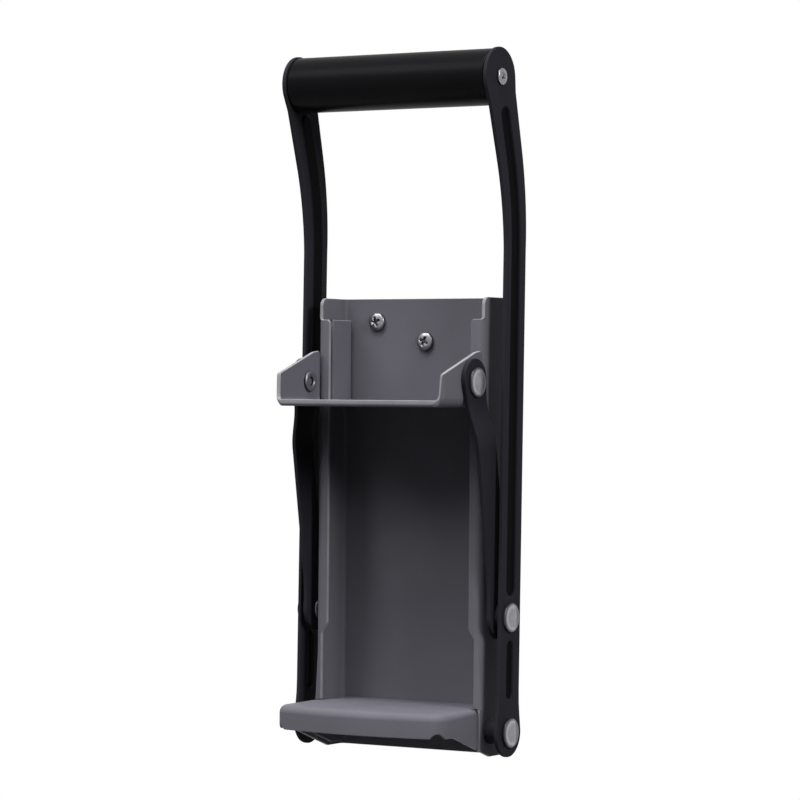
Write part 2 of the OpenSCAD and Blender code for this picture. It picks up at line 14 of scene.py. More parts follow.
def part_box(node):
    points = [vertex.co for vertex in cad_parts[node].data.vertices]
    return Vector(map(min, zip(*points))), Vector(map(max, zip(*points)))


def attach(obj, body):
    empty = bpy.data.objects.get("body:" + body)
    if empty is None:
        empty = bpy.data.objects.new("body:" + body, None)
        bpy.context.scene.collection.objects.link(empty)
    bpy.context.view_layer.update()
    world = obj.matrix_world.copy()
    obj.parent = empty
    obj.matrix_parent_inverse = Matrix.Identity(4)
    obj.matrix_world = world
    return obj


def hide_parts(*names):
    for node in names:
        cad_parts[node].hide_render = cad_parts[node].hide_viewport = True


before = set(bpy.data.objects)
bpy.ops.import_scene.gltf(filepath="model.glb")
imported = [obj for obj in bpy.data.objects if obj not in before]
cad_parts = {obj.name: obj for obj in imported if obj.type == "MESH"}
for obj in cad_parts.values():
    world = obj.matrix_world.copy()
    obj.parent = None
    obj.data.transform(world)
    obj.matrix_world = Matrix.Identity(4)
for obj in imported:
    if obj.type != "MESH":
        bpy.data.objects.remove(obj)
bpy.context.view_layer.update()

MM = 0.001
SIDES = {"right": 1, "left": -1}

# ---------------------------------------------------------------- sizes, in mm

SHEET = 2.0                # the gray sheet of channel, shelf and crush plate
EDGE = 0.4                 # rounding of a sheet's cut edge
FIT = 0.05                 # play between pieces that touch
HALF_W = 50.0              # half the channel's outer width

CHANNEL_D = 26.6
CHANNEL_TOP = 211.0
CHANNEL_DROP = 25.0
CHANNEL_BEND = 4.0         # outside radius
LIP_W = 7.2
LIP_TOP = CHANNEL_TOP - 11.4
LIP_CORNER = 2.0
LIP_FADE = 0.6             # height over which the lip's bend runs out at its ends
LIP_RELIEF = 3.3           # how much narrower the lip is near the shelf
LIP_RELIEF_H = 41.0
LIP_RELIEF_RUN = 6.5
SIDE_CORNER = 4.0

SHELF_REACH = 71.5
SHELF_BOW = 5.0
SHELF_CORNER = 9.0
SHELF_BEND = 4.0           # outside radius at the front
SHELF_BEND_REAR = 2.4
SHELF_CORNER_Y = -SHELF_REACH + SHELF_BOW + SHELF_CORNER
SKIRT_FRONT = 12.5
SKIRT_SLOPE_OUT = 52.0
SKIRT_DEEP_OUT = 15.5
NOTCH_W = 9.0
NOTCH_H = 2.6
SLIT_W = 1.2
SHELF_REAR = -CHANNEL_D - SLIT_W
TAB_GAP = 0.02             # between the shelf's tab and the channel's side

PLATE_Z = 1000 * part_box("crush_plate")[0].z
PLATE_REACH = 69.0
PLATE_BEND = 5.0           # outside radius under the ears
PLATE_FRONT_BEND = 1.7
PLATE_CURL = 3.4
HIGHLIT_WALL = 6.0            # walls no higher than this get a painted highlight along their outside
TIGHT_INSIDE = 0.15        # smallest inside radius of a bend
EAR_FRONT = 15.5
EAR_REAR = 28.8
EAR_FLAT = 4.0
EAR_CORNER = 1.5
GUIDE_H = 45.3
GUIDE_T = 1.8
GUIDE_BEND = 2.6           # outside radius
GUIDE_CORNER = 0.5
GUIDE_GAP = 0.4
GUIDE_FRONT = -CHANNEL_D + SHEET + GUIDE_GAP
GUIDE_BACK = -SHEET - GUIDE_GAP
PLATE_REAR = -CHANNEL_D - 2 * GUIDE_GAP

PIVOT = (-16.5, -12.0)     # y and z of the lever's pivot
CRANK = (-16.5, 47.0)
PLATE_PIN = (-37.5, 167.18)

LINK_T = 2.3
LINK_W = 17.4
LINK_EYE = 11.0
LINK_EYE_UP = 1.2
LINK_FOOT = 11.6
LINK_STEP = 4.0
LINK_STEP_FROM = 9.0
LINK_STEP_TO = 34.0
LINK_FOOT_TAPER = 26.0
LINK_EYE_TAPER = 26.0

ARM_IN = 59.5              # x of the arm's inner face
ARM_T = 2.0
ARM_W = 20.4
ARM_EYE = 12.5
ARM_END = 15.2
ARM_LEAN = radians(0.85)
ARM_STRAIGHT = 247.0
ARM_BEND = 170.0
ARM_TIP_ANGLE = radians(16)
ARM_TIP = 39.8
GROOVE_DEPTH = 1.0
GROOVE_HALF = 4.3
GROOVE_FROM = 74.0
GROOVE_TO = 20.0
LOW_GROOVE_HALF = 3.0
LOW_GROOVE_FROM = 20.0
LOW_GROOVE_TO = 44.0

GRIP_R = 14.5
GRIP_END = 1.5
TIE_ROD_R = 5.5

SIDE_CLEAR = 0.3
RIVET_R = 4.0
RIVET_HEAD_R = 7.5
RIVET_HEAD_H = 2.5
RIVET_TAIL_R = 5.5
RIVET_TAIL_H = 1.8
SPACER_R = 6.2
WASHER_R = 8.0

# x, z and how far the cross recess is turned, in degrees
WALL_SCREWS = {"upper": (-28.0, CHANNEL_TOP - 12.0, 20), "lower": (1.6, CHANNEL_TOP - 22.4, 65)}
SCREW_HEAD_R = 4.8
SCREW_HEAD_H = 2.9
SCREW_R = 2.4
SCREW_NECK_R = 2.1
SCREW_L = 25.0
SCREW_TIP = 6.0
THREAD_PITCH = 1.9
THREAD_DEPTH = 0.62
GRIP_SCREW_R = 4.3
GRIP_SCREW_H = 2.0
GRIP_SCREW_L = 16.0
GRIP_SCREW_TURN = 30
SHANK_SEGMENTS = 28
RIVET_SEGMENTS = 56

EYE_IN = HALF_W + SIDE_CLEAR            # x of the link's inner face at the crush plate
FOOT_IN = EYE_IN + LINK_STEP            # and at the crank rivet
LEAVE = 12                 # angle at which a strip's edge leaves a round end, in degrees

# ---------------------------------------------------------------- stage

WORLD_AXIS = (-0.45, 0.45, 0.77)        # towards the brightest part of the surroundings
WORLD_BELOW = 0.015
WORLD_ABOVE = 0.5
FLOOR_CARRIED = 0.15       # the floor's tone as a source of light
FLOOR_SEEN = 0.9
LAMP_AIM = Vector((0, 0, 0.15))
LAMP_DISTANCE = 2.2
LAMPS = (                  # name, azimuth, elevation, size in m, power in W
    ("key", -35, 42, 1.0, 17),
    ("front", 15, 42, 1.0, 5),
    ("overhead", 0, 71, 1.2, 51),
    ("side", 72, 25, 0.7, 25),
)


def build_camera():
    """The reference view, from the front and the right, framed zoom times as close."""
    azimuth, pitch, roll = radians(31.12), radians(-0.06), radians(0.5)
    place = Vector((905.2, -1524.5, 159.6)) * MM
    focal_px, picture_px, zoom, sensor = 1519.3, 800, 2.222, 36.0
    look = Vector((-sin(azimuth) * cos(pitch), cos(azimuth) * cos(pitch), sin(pitch)))
    right = Vector((cos(azimuth), sin(azimuth), 0))
    up = right.cross(look)
    across = cos(roll) * right + sin(roll) * up
    upward = -sin(roll) * right + cos(roll) * up
    camera = bpy.data.objects.new("camera", bpy.data.cameras.new("camera"))
    camera.data.sensor_width = sensor
    camera.data.lens = focal_px * zoom / picture_px * sensor
    camera.data.clip_end = 50
    turn = Matrix((across, upward, -look)).transposed()
    camera.matrix_world = Matrix.Translation(place) @ turn.to_4x4()
    bpy.context.scene.collection.objects.link(camera)
    bpy.context.scene.camera = camera


def area_light(name, azimuth, elevation, size, power):
    """A round lamp aimed at the crusher's middle, from that azimuth and elevation in degrees."""
    turn, lift = radians(azimuth), radians(elevation)
    direction = Vector((sin(turn) * cos(lift), -cos(turn) * cos(lift), sin(lift)))
    place = direction * LAMP_DISTANCE + LAMP_AIM
    light = bpy.data.lights.new(name, "AREA")
    light.shape = "DISK"
    light.size = size
    light.energy = power
    lamp = bpy.data.objects.new(name, light)
    lamp.location = place
    lamp.rotation_euler = (LAMP_AIM - place).to_track_quat("-Z", "Y").to_euler()
    bpy.context.scene.collection.objects.link(lamp)


def seen_directly(nodes, links):
    """1 for camera, glossy and transmission rays, and 0 for the rays that only carry light."""
    path = nodes.new("ShaderNodeLightPath")
    total = path.outputs["Is Camera Ray"]
    for name in ("Is Glossy Ray", "Is Transmission Ray"):
        more = nodes.new("ShaderNodeMath")
        more.operation = "MAXIMUM"
        links.new(total, more.inputs[0])
        links.new(path.outputs[name], more.inputs[1])
        total = more.outputs[0]
    return total


def build_world():
    """White where it is seen; as a light it is strongest above, behind and to the left."""
    world = bpy.data.worlds.new("studio")
    bpy.context.scene.world = world
    world.use_nodes = True
    nodes, links = world.node_tree.nodes, world.node_tree.links
    nodes.clear()
    seen = seen_directly(nodes, links)
    coords = nodes.new("ShaderNodeTexCoord")
    height = nodes.new("ShaderNodeVectorMath")
    height.operation = "DOT_PRODUCT"
    height.inputs[1].default_value = WORLD_AXIS
    links.new(coords.outputs["Generated"], height.inputs[0])
    fade = nodes.new("ShaderNodeMapRange")
    fade.inputs["From Min"].default_value = -0.4
    fade.inputs["From Max"].default_value = 1.0
    fade.inputs["To Min"].default_value = WORLD_BELOW
    fade.inputs["To Max"].default_value = WORLD_ABOVE
    links.new(height.outputs["Value"], fade.inputs["Value"])
    strength = nodes.new("ShaderNodeMix")
    links.new(seen, strength.inputs["Factor"])
    links.new(fade.outputs[0], strength.inputs["A"])
    strength.inputs["B"].default_value = 1.0
    background = nodes.new("ShaderNodeBackground")
    background.inputs["Color"].default_value = (1, 1, 1, 1)
    links.new(strength.outputs[0], background.inputs["Strength"])
    output = nodes.new("ShaderNodeOutputWorld")
    links.new(background.outputs[0], output.inputs["Surface"])


def build_floor():
    """A pale floor well below the handle's swing, which fades out towards its rim."""
    z, radius = -0.42, 1.5
    bm = bmesh.new()
    bmesh.ops.create_circle(bm, cap_ends=True, radius=radius, segments=96)
    mesh = bpy.data.meshes.new("floor")
    bm.to_mesh(mesh)
    floor = bpy.data.objects.new("floor", mesh)
    floor.location = (0, 0, z)
    bpy.context.scene.collection.objects.link(floor)
    material = bpy.data.materials.new("floor")
    material.use_nodes = True
    nodes, links = material.node_tree.nodes, material.node_tree.links
    nodes.clear()
    seen = seen_directly(nodes, links)
    tone = nodes.new("ShaderNodeMix")
    tone.data_type = "RGBA"
    links.new(seen, tone.inputs["Factor"])
    tone.inputs[6].default_value = (FLOOR_CARRIED, FLOOR_CARRIED, FLOOR_CARRIED, 1)
    tone.inputs[7].default_value = (FLOOR_SEEN, FLOOR_SEEN, FLOOR_SEEN, 1)
    diffuse = nodes.new("ShaderNodeBsdfDiffuse")
    links.new(tone.outputs[2], diffuse.inputs["Color"])
    coords = nodes.new("ShaderNodeTexCoord")
    length = nodes.new("ShaderNodeVectorMath")
    length.operation = "LENGTH"
    links.new(coords.outputs["Object"], length.inputs[0])
    fade = nodes.new("ShaderNodeMapRange")
    fade.interpolation_type = "SMOOTHSTEP"
    fade.inputs["From Min"].default_value = 0.3 * radius
    fade.inputs["From Max"].default_value = 1.08 * radius
    links.new(length.outputs["Value"], fade.inputs["Value"])
    clear = nodes.new("ShaderNodeBsdfTransparent")
    mix = nodes.new("ShaderNodeMixShader")
    links.new(fade.outputs[0], mix.inputs["Fac"])
    links.new(diffuse.outputs[0], mix.inputs[1])
    links.new(clear.outputs[0], mix.inputs[2])
    output = nodes.new("ShaderNodeOutputMaterial")
    links.new(mix.outputs[0], output.inputs["Surface"])
    floor.data.materials.append(material)


build_camera()
build_world()
build_floor()
for lamp_row in LAMPS:
    area_light(*lamp_row)
bpy.context.scene.view_settings.view_transform = "Standard"

# ---------------------------------------------------------------- materials


class Shader:
    """A Principled material whose inputs are wired up one at a time."""

    def __init__(self, name, **values):
        self.material = bpy.data.materials.new(name)
        self.material.use_nodes = True
        self.nodes = self.material.node_tree.nodes
        self.links = self.material.node_tree.links
        self.principled = self.nodes["Principled BSDF"]
        for socket, value in values.items():
            self.principled.inputs[socket.replace("_", " ")].default_value = value
        self.coords = self.nodes.new("ShaderNodeTexCoord").outputs["Object"]
        self.normal = None

    def add(self, kind, inputs=(), **settings):
        """A node of that kind, its settings made and its inputs set or linked by name or number."""
        node = self.nodes.new("ShaderNode" + kind)
        for key, value in settings.items():
            setattr(node, key, value)
        for socket, value in dict(inputs).items():
            if isinstance(value, bpy.types.NodeSocket):
                self.links.new(value, node.inputs[socket])
            else:
                node.inputs[socket].default_value = value
        return node

    def noise(self, wave, detail=2.0, stretch=(1, 1, 1), seed=0.0):
        """Noise of that wavelength in mm, from 0 to 1; stretch makes it longer along an axis."""
        place = self.add("Mapping", {"Vector": self.coords, "Location": (seed, seed, seed),
                                     "Scale": tuple(1 / s for s in stretch)})
        return self.add("TexNoise", {"Vector": place.outputs[0], "Scale": 1 / (wave * MM),
                                     "Detail": detail}).outputs["Fac"]

    def ramp(self, value, low, high, to_low=0.0, to_high=1.0):
        """value's range low to high, spread over to_low to to_high and held at the ends."""
        return self.add("MapRange", {"Value": value, "From Min": low, "From Max": high,
                                     "To Min": to_low, "To Max": to_high}).outputs[0]

    def math(self, operation, a, b):
        return self.add("Math", {0: a, 1: b}, operation=operation).outputs[0]

    def mix(self, factor, a, b):
        """Colour a where factor is 0 and b where it is 1."""
        node = self.add("Mix", {"Factor": factor}, data_type="RGBA")
        for socket, value in ((6, a), (7, b)):
            if isinstance(value, bpy.types.NodeSocket):
                self.links.new(value, node.inputs[socket])
            else:
                node.inputs[socket].default_value = (*value, 1)
        return node.outputs[2]

    def attribute(self, name):
        return self.add("Attribute", attribute_name=name).outputs["Fac"]

    def set(self, socket, value):
        self.links.new(value, self.principled.inputs[socket])

    def bump(self, height, distance):
        """Raises the surface by height times distance in mm, on top of earlier bumps."""
        inputs = {"Height": height, "Distance": distance * MM, "Strength": 1.0}
        if self.normal:
            inputs["Normal"] = self.normal
        self.normal = self.add("Bump", inputs).outputs[0]
        self.set("Normal", self.normal)


def linear(*srgb):
    """Linear colour of sRGB values from 0 to 255."""
    def one(value):
        c = value / 255
        return c / 12.92 if c <= 0.04045 else ((c + 0.055) / 1.055) ** 2.4
    return tuple(one(value) for value in srgb)


def powder_coat(name, base, worn_and_highlit, roughness, specular, wear_and_painted_light):
    """Baked powder coat: orange peel, slow cloudiness, and a lighter colour on the sheet's cut edges
    and on the outside of low walls, partly thin paint and partly a painted highlight. Where the
    mesh's attribute falls to -1, on a pressing's floor, the colour is darkened as painted shade."""
    s = Shader(name, Metallic=0.0, Specular_IOR_Level=specular)
    cloud = s.noise(38, 3)
    grain = s.noise(0.55, 1, seed=3)
    tone = s.math("ADD", s.ramp(cloud, 0.3, 0.7, -0.05, 0.05),
                  s.ramp(grain, 0.25, 0.75, -0.04, 0.04))
    edge = s.attribute("wear_and_painted_light")
    # painted shade: a pressing's floor darkens to 0.15 of the coat's colour
    sunk = s.ramp(edge, -1, 0, 0.15, 1.0)
    shade = s.add("HueSaturation", {"Value": s.math("MULTIPLY", s.math("ADD", tone, 1.0), sunk),
                                    "Color": (*base, 1)}).outputs[0]
    patchy = s.ramp(s.noise(9, 2, seed=7), 0.35, 0.65, 0.75, 1.0)
    # lighter colour on cut edges and low walls: partly thin paint, partly a painted highlight
    bare_and_highlit = s.math("MULTIPLY", s.ramp(edge, 0.1, 1.0), s.math("MULTIPLY", patchy, wear_and_painted_light))
    s.set("Base Color", s.mix(bare_and_highlit, shade, worn_and_highlit))
    rough = s.ramp(s.noise(11, 3, seed=5), 0.3, 0.7, roughness - 0.04, roughness + 0.05)
    s.set("Roughness", s.math("SUBTRACT", rough, s.math("MULTIPLY", bare_and_highlit, 0.12)))
    s.bump(s.noise(1.5, 2, seed=1), 0.035)
    s.bump(s.noise(0.4, 1, seed=2), 0.008)
    return s.material


def moulded_plastic():
    """The grip's satin moulding: a fine even grain, a little shinier in worn patches."""
    s = Shader("grip_plastic", Metallic=0.0, Specular_IOR_Level=0.032)
    shine = s.ramp(s.noise(30, 3, stretch=(3, 1, 1)), 0.35, 0.7)
    s.set("Base Color", s.mix(shine, linear(13, 13, 15), linear(17, 17, 19)))
    s.set("Roughness", s.ramp(shine, 0, 1, 0.36, 0.3))
    s.bump(s.noise(0.5, 2, seed=4), 0.02)
    s.bump(s.noise(2.5, 2, stretch=(8, 1, 1), seed=6), 0.03)
    return s.material


def zinc(name, colour, roughness, metallic):
    """Zinc-plated steel: faint blotches and fine scratches. Where the mesh's attribute is above 0,
    in crevices, hollows and on the heads' wall side, the colour is darkened as painted shade; where
    it is below 0, on shoulders, it is brightened as a painted highlight."""
    s = Shader(name, Metallic=metallic)
    blotch = s.ramp(s.noise(3.2, 4), 0.3, 0.7)
    dull = tuple(0.78 * c for c in colour)
    edge = s.attribute("wear_and_painted_light")
    # painted highlight where the attribute is below 0, painted shade where it is above 0
    shine, painted_shade = s.ramp(edge, -1, 0, 1, 0), s.ramp(edge, 0, 1)
    unshaded = s.mix(shine, s.mix(blotch, dull, colour), tuple(min(1, 2.1 * c) for c in colour))
    s.set("Base Color", s.mix(painted_shade, unshaded, tuple(0.16 * c for c in colour)))
    s.set("Roughness", s.ramp(blotch, 0, 1, roughness + 0.1, roughness - 0.05))
    s.bump(s.noise(0.9, 3, stretch=(1, 5, 1), seed=2), 0.01)
    s.bump(s.noise(0.25, 1, seed=8), 0.004)
    return s.material


MATERIALS = {
    # each coat's second colour lightens cut edges and low walls: partly thin paint, partly a painted
    # highlight
    "frame_gray": powder_coat("gray_coat", base=linear(108, 107, 115), worn_and_highlit=linear(160, 159, 163),
                              roughness=0.42, specular=0.008, wear_and_painted_light=0.8),
    "lever_black": powder_coat("black_coat", base=linear(44, 44, 49), worn_and_highlit=linear(48, 48, 52),
                               roughness=0.38, specular=0.006, wear_and_painted_light=0.3),
    "grip_black": moulded_plastic(),
    "rivet_zinc": zinc("rivet_metal", linear(144, 144, 148), roughness=0.32, metallic=0.75),
    "screw_zinc": zinc("screw_metal", linear(140, 140, 145), roughness=0.26, metallic=0.9),
}

# ---------------------------------------------------------------- mesh building


def arc(x, y, r, start, end, steps):
    """Points of an arc about (x, y), between two angles in degrees."""
    angles = [radians(start + (end - start) * i / steps) for i in range(steps + 1)]
    return [(x + r * cos(a), y + r * sin(a)) for a in angles]


def hole(x, y, r):
    """Outline of a hole for a shank of radius r, which turns right as sheet_solid's holes do."""
    return arc(x, y, r + FIT, 360, 0, 31)[:-1]


def circle(x, r, segments):
    """Points of a circle about the X axis."""
    return [(x, r * cos(a), r * sin(a)) for a in (2 * pi * i / segments for i in range(segments))]


def held(t):
    """t, held between 0 and 1."""
    return min(max(t, 0), 1)


def smooth(t):
    """An S-curve from 0 to 1."""
    t = held(t)
    return t * t * (3 - 2 * t)


def new_mesh():
    """An empty mesh with the attribute that the materials read: thin paint on cut edges, painted
    highlight and painted shade.
    """
    bm = bmesh.new()
    bm.verts.layers.float.new("wear_and_painted_light")
    return bm


def ring(bm, points, wear_and_painted_light=0.0):
    """New vertices at the points."""
    layer = bm.verts.layers.float["wear_and_painted_light"]
    made = [bm.verts.new(p) for p in points]
    for v in made:
        v[layer] = wear_and_painted_light
    return made


def skin(bm, rings, closed=True):
    """Faces between each ring and the next."""
    for one, two in zip(rings, rings[1:]):
        n = len(one)
        for i in range(n if closed else n - 1):
            j = (i + 1) % n
            corners = [one[i], one[j], two[j], two[i]]
            bm.faces.new([v for k, v in enumerate(corners) if v not in corners[:k]])


def fill(bm, rings):
    """A flat face inside the first ring, with the others as its holes."""
    edges = [bm.edges.get((a, b)) or bm.edges.new((a, b))
             for loop in rings for a, b in zip(loop, loop[1:] + loop[:1])]
    bmesh.ops.triangle_fill(bm, edges=edges, use_beauty=True, use_dissolve=False)


def offset(loop, d):
    """The closed loop moved to its left by d."""
    moved = []
    for i, (x, y) in enumerate(loop):
        (ax, ay), (bx, by) = loop[i - 1], loop[(i + 1) % len(loop)]
        u, v = hypot(x - ax, y - ay), hypot(bx - x, by - y)
        n1, n2 = (-(y - ay) / u, (x - ax) / u), (-(by - y) / v, (bx - x) / v)
        k = d / (1 + n1[0] * n2[0] + n1[1] * n2[1])
        moved.append((x + k * (n1[0] + n2[0]), y + k * (n1[1] + n2[1])))
    return moved


def edge_profile(t):
    """Round edge of a sheet t thick, as (distance from its outline, height, lightening of the edge:
    partly thin paint, partly a painted highlight).
    """
    turns = [radians(30 * i) for i in range(4)]
    low = [(EDGE * (1 - sin(a)), EDGE * (1 - cos(a)), sin(a)) for a in turns]
    return low + [(d, t - h, w) for d, h, w in reversed(low)]


def sheet_solid(outline, t, holes=(), presses=()):
    """A flat sheet from height 0 to t. The outline turns left and holes turn right.
    Each press is (loop at a distance from its middle line, [(distance, sink)] for each face)."""
    bm = new_mesh()
    low, high = [], []
    for loop in (outline, *holes):
        rings = [ring(bm, [(x, y, h) for x, y in offset(loop, d)], w)
                 for d, h, w in edge_profile(t)]
        skin(bm, rings)
        low.append(rings[0])
        high.append(rings[-1])
    for loop_at, profile in presses:
        for level, rims in ((0, low), (t, high)):
            # the attribute runs down to -1 on a pressing's floor, which the coat darkens as painted
            # shade
            rings = [ring(bm, [(x, y, level - sink) for x, y in loop_at(d)], -sink / profile[-1][1])
                     for d, sink in profile]
            skin(bm, rings)
            rims.append(rings[0])
            fill(bm, [rings[-1]])
    fill(bm, low)
    fill(bm, high)
    return bm


def slice_across(bm, axis, places):
    """Cuts the mesh's faces at each place along axis 0, 1 or 2, so that it can bend there."""
    for place in places:
        point, normal = [0, 0, 0], [0, 0, 0]
        point[axis], normal[axis] = place, 1
        bmesh.ops.bisect_plane(bm, geom=[*bm.verts, *bm.edges, *bm.faces], dist=1e-4,
                               plane_co=point, plane_no=normal)


def reshape(bm, place):
    """Moves each vertex to place(x, y, z)."""
    for v in bm.verts:
        v.co = place(*v.co)
    return bm


def follow(legs, s):
    """Point and heading at length s along legs of (length, turn in degrees). The first leg starts
    at (0, 0) along +X."""
    x = y = heading = 0.0
    for i, (length, turn) in enumerate(legs):
        part = s if i == len(legs) - 1 else min(s, length)
        if turn:
            r = length / radians(turn)
            x += r * (sin(heading + part / r) - sin(heading))
            y -= r * (cos(heading + part / r) - cos(heading))
            heading += part / r
        else:
            x += part * cos(heading)
            y += part * sin(heading)
        s -= part
        if s <= 0:
            break
    return x, y, heading


def run(legs):
    """Length along the legs."""
    return sum(length for length, turn in legs)


def lathe(profile, segments):
    """A solid of revolution about X, from a profile [(x, radius, value of the attribute for thin
    paint and painted light)] that starts and ends on the axis or closes on itself."""
    bm = new_mesh()
    rings = []
    for x, r, wear_and_painted_light in profile:
        made = ring(bm, circle(x, r, segments) if r else [(x, 0, 0)], wear_and_painted_light)
        rings.append(made if r else made * segments)
    skin(bm, rings)
    return bm


def piece(bm, name, body, slot, nodes):
    """Makes the mesh an object of the model, which rides on body and stands for the CAD nodes."""
    bmesh.ops.remove_doubles(bm, verts=bm.verts, dist=1e-4)
    bmesh.ops.recalc_face_normals(bm, faces=bm.faces)
    bmesh.ops.scale(bm, vec=(MM, MM, MM), verts=bm.verts)
    for face in bm.faces:
        face.smooth = True
    mesh = bpy.data.meshes.new(name)
    bm.to_mesh(mesh)
    bm.free()
    made = bpy.data.objects.new(name, mesh)
    bpy.context.scene.collection.objects.link(made)
    made.data.materials.append(MATERIALS[slot])
    made.modifiers.new("normals", "WEIGHTED_NORMAL")
    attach(made, body)
    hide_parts(*nodes)


def mirrored(bm, side):
    """The mesh, drawn for the right side, on that side."""
    if side < 0:
        bmesh.ops.scale(bm, vec=(-1, 1, 1), verts=bm.verts)
    return bm


# ---------------------------------------------------------------- back channel


def channel_legs():
    """The channel's middle line seen from above: half the web, bend, side, bend, lip."""
    bend = (CHANNEL_BEND - SHEET / 2) * pi / 2
    return [(HALF_W - CHANNEL_BEND, 0), (bend, 90), (CHANNEL_D - 2 * CHANNEL_BEND, 0), (bend, 90),
            (LIP_W - CHANNEL_BEND, 0)]


def skirt_z(y):
    """Height at y of the sloped lower edge of the shelf's side skirts and the channel's sides."""
    slope = (CHANNEL_DROP - SKIRT_FRONT) / (SKIRT_SLOPE_OUT - SKIRT_DEEP_OUT)
    return -CHANNEL_DROP + slope * max(0, -y - SKIRT_DEEP_OUT)


def channel_outline():
    """The flat blank's right half outline, from the bottom's middle up to the top's middle."""
    legs = channel_legs()
    side_end, lip_edge = run(legs[:3]), run(legs)
    low_edge = side_end + CHANNEL_BEND
    wall_edge = side_end + CHANNEL_BEND - SHEET
    relief = lip_edge - LIP_RELIEF
    sweep = [(lip_edge - LIP_RELIEF * (1 + cos(pi * t)) / 2,
              LIP_RELIEF_H - LIP_RELIEF_RUN * (1 - t)) for t in (i / 12 for i in range(13))]
    # the side walls' bottom follows the line of the shelf's skirt
    slope_start = side_end - (CHANNEL_D - CHANNEL_BEND) + SKIRT_DEEP_OUT
    return [
        (slope_start, -CHANNEL_DROP), (low_edge, skirt_z(-CHANNEL_D)),
        (low_edge, -LIP_FADE), (relief, LIP_FADE), *sweep,
        *arc(lip_edge - LIP_CORNER, LIP_TOP - LIP_CORNER, LIP_CORNER, 0, 90, 6),
        (wall_edge + LIP_FADE, LIP_TOP), (wall_edge, LIP_TOP + LIP_FADE),
        *arc(wall_edge - SIDE_CORNER, CHANNEL_TOP - SIDE_CORNER, SIDE_CORNER, 0, 90, 8),
    ]


def channel_place(u, v, h):
    """Bends the flat blank: u across, v up, h from the outside to the inside of the sheet."""
    legs = channel_legs()
    side_end = run(legs[:3])
    x, y, heading = follow(legs, abs(u))
    bent = Vector((x - (h - SHEET / 2) * sin(heading), y + (h - SHEET / 2) * cos(heading)))
    if abs(u) > side_end:
        straight = Vector((HALF_W - h, CHANNEL_BEND - SHEET / 2 + legs[2][0] + abs(u) - side_end))
        bent = straight.lerp(bent, held(min(v, LIP_TOP + LIP_FADE - v) / LIP_FADE))
    return (bent.x if u >= 0 else -bent.x, -SHEET / 2 - bent.y, v)


def build_channel():
    right = channel_outline()
    outline = right + [(-u, v) for u, v in reversed(right)]
    legs = channel_legs()
    pivot_u = run(legs[:2]) - PIVOT[0] - CHANNEL_BEND
    holes = [hole(x, z, SCREW_R) for x, z, turn in WALL_SCREWS.values()]
    holes += [hole(side * pivot_u, PIVOT[1], RIVET_R) for side in SIDES.values()]
    bm = sheet_solid(outline, SHEET, holes)
    bends = []
    for first in (1, 3):
        bends += [run(legs[:first]) + legs[first][0] * i / 6 for i in range(7)]
    slice_across(bm, 0, [side * u for u in bends for side in SIDES.values()])
    slice_across(bm, 1, [-LIP_FADE, 0, LIP_TOP, LIP_TOP + LIP_FADE])
    reshape(bm, channel_place)
    piece(bm, "back_channel_sheet", "frame", "frame_gray", ["back_channel"])


# ---------------------------------------------------------------- shelf and crush plate


def tray(plan, tongue, bend_at, depth, level, way, face_highlight=0.0):
    """A drawn tray: a flat sheet with walls along plan, [(x, y, normal x, normal y)]. They stand
    off it by depth(x, y), and bend from it with an outside radius of bend_at(x, y). tongue is the
    flat's outline behind the walls, and level the height of its outer face. way is 1 for walls that
    stand up and -1 for walls that hang down. The last argument is a painted highlight, a lighter
    colour, along the outside of low walls."""
    bm = new_mesh()
    turns = [radians(90 * i / 6) for i in range(7)]
    columns = []
    for x, y, nx, ny in plan:
        bend = bend_at(x, y)
        inner = max(bend - SHEET, TIGHT_INSIDE)
        top = max(depth(x, y), bend + EDGE)
        # painted highlight: the outside of a low wall, such as the crush plate's front curl, turns
        # lighter
        shine = face_highlight if top < HIGHLIT_WALL else 0
        profile = [(bend * (1 - sin(a)), bend * (1 - cos(a)), shine * sqrt(sin(a))) for a in turns]
        rim = [(EDGE * (1 - cos(a)), top - EDGE + EDGE * sin(a), max(shine, sqrt(sin(a))))
               for a in (radians(30 * i) for i in range(4))]
        profile += rim + [(SHEET - d, h, w) for d, h, w in reversed(rim)]
        profile += [(SHEET + inner * (1 - sin(a)), SHEET + inner * (1 - cos(a)), 0)
                    for a in reversed(turns)]
        columns.append([ring(bm, [(x - d * nx, y - d * ny, level + way * h)], w)[0]
                        for d, h, w in profile])
    skin(bm, columns, closed=False)
    for column in (columns[0], columns[-1]):
        bm.faces.new(column)
    outer = ring(bm, [(x, y, level) for x, y in tongue], 0)
    back = ring(bm, [(x, y, level + way * SHEET) for x, y in tongue], 0)
    low = [column[0] for column in columns] + outer
    high = [column[-1] for column in columns] + back
    last, first = columns[-1], columns[0]
    skin(bm, [[last[0], *outer, first[0]], [last[-1], *back, first[-1]]], closed=False)
    fill(bm, [low])
    fill(bm, [high])
    return bm


def shelf_plan():
    """The shelf's outline from its left rear end round the front to its right rear end."""
    half = HALF_W - SHELF_CORNER
    bow_r = (half * half + SHELF_BOW * SHELF_BOW) / (2 * SHELF_BOW)
    bow = asin(half / bow_r)
    steps = 30
    right = [(half + SHELF_CORNER * sin(a), SHELF_CORNER_Y - SHELF_CORNER * cos(a), sin(a), -cos(a))
             for a in (bow + (pi / 2 - bow) * i / steps for i in range(steps + 1))]
    right += [(HALF_W, SHELF_CORNER_Y + (SHELF_REAR - SHELF_CORNER_Y) * i / 8, 1, 0)
              for i in range(1, 9)]
    front = [(bow_r * sin(a), -SHELF_REACH + bow_r * (1 - cos(a)), sin(a), -cos(a))
             for a in (bow * i / 10 for i in range(-9, 10))]
    left = [(-x, y, -nx, ny) for x, y, nx, ny in reversed(right)]
    return left + front + right


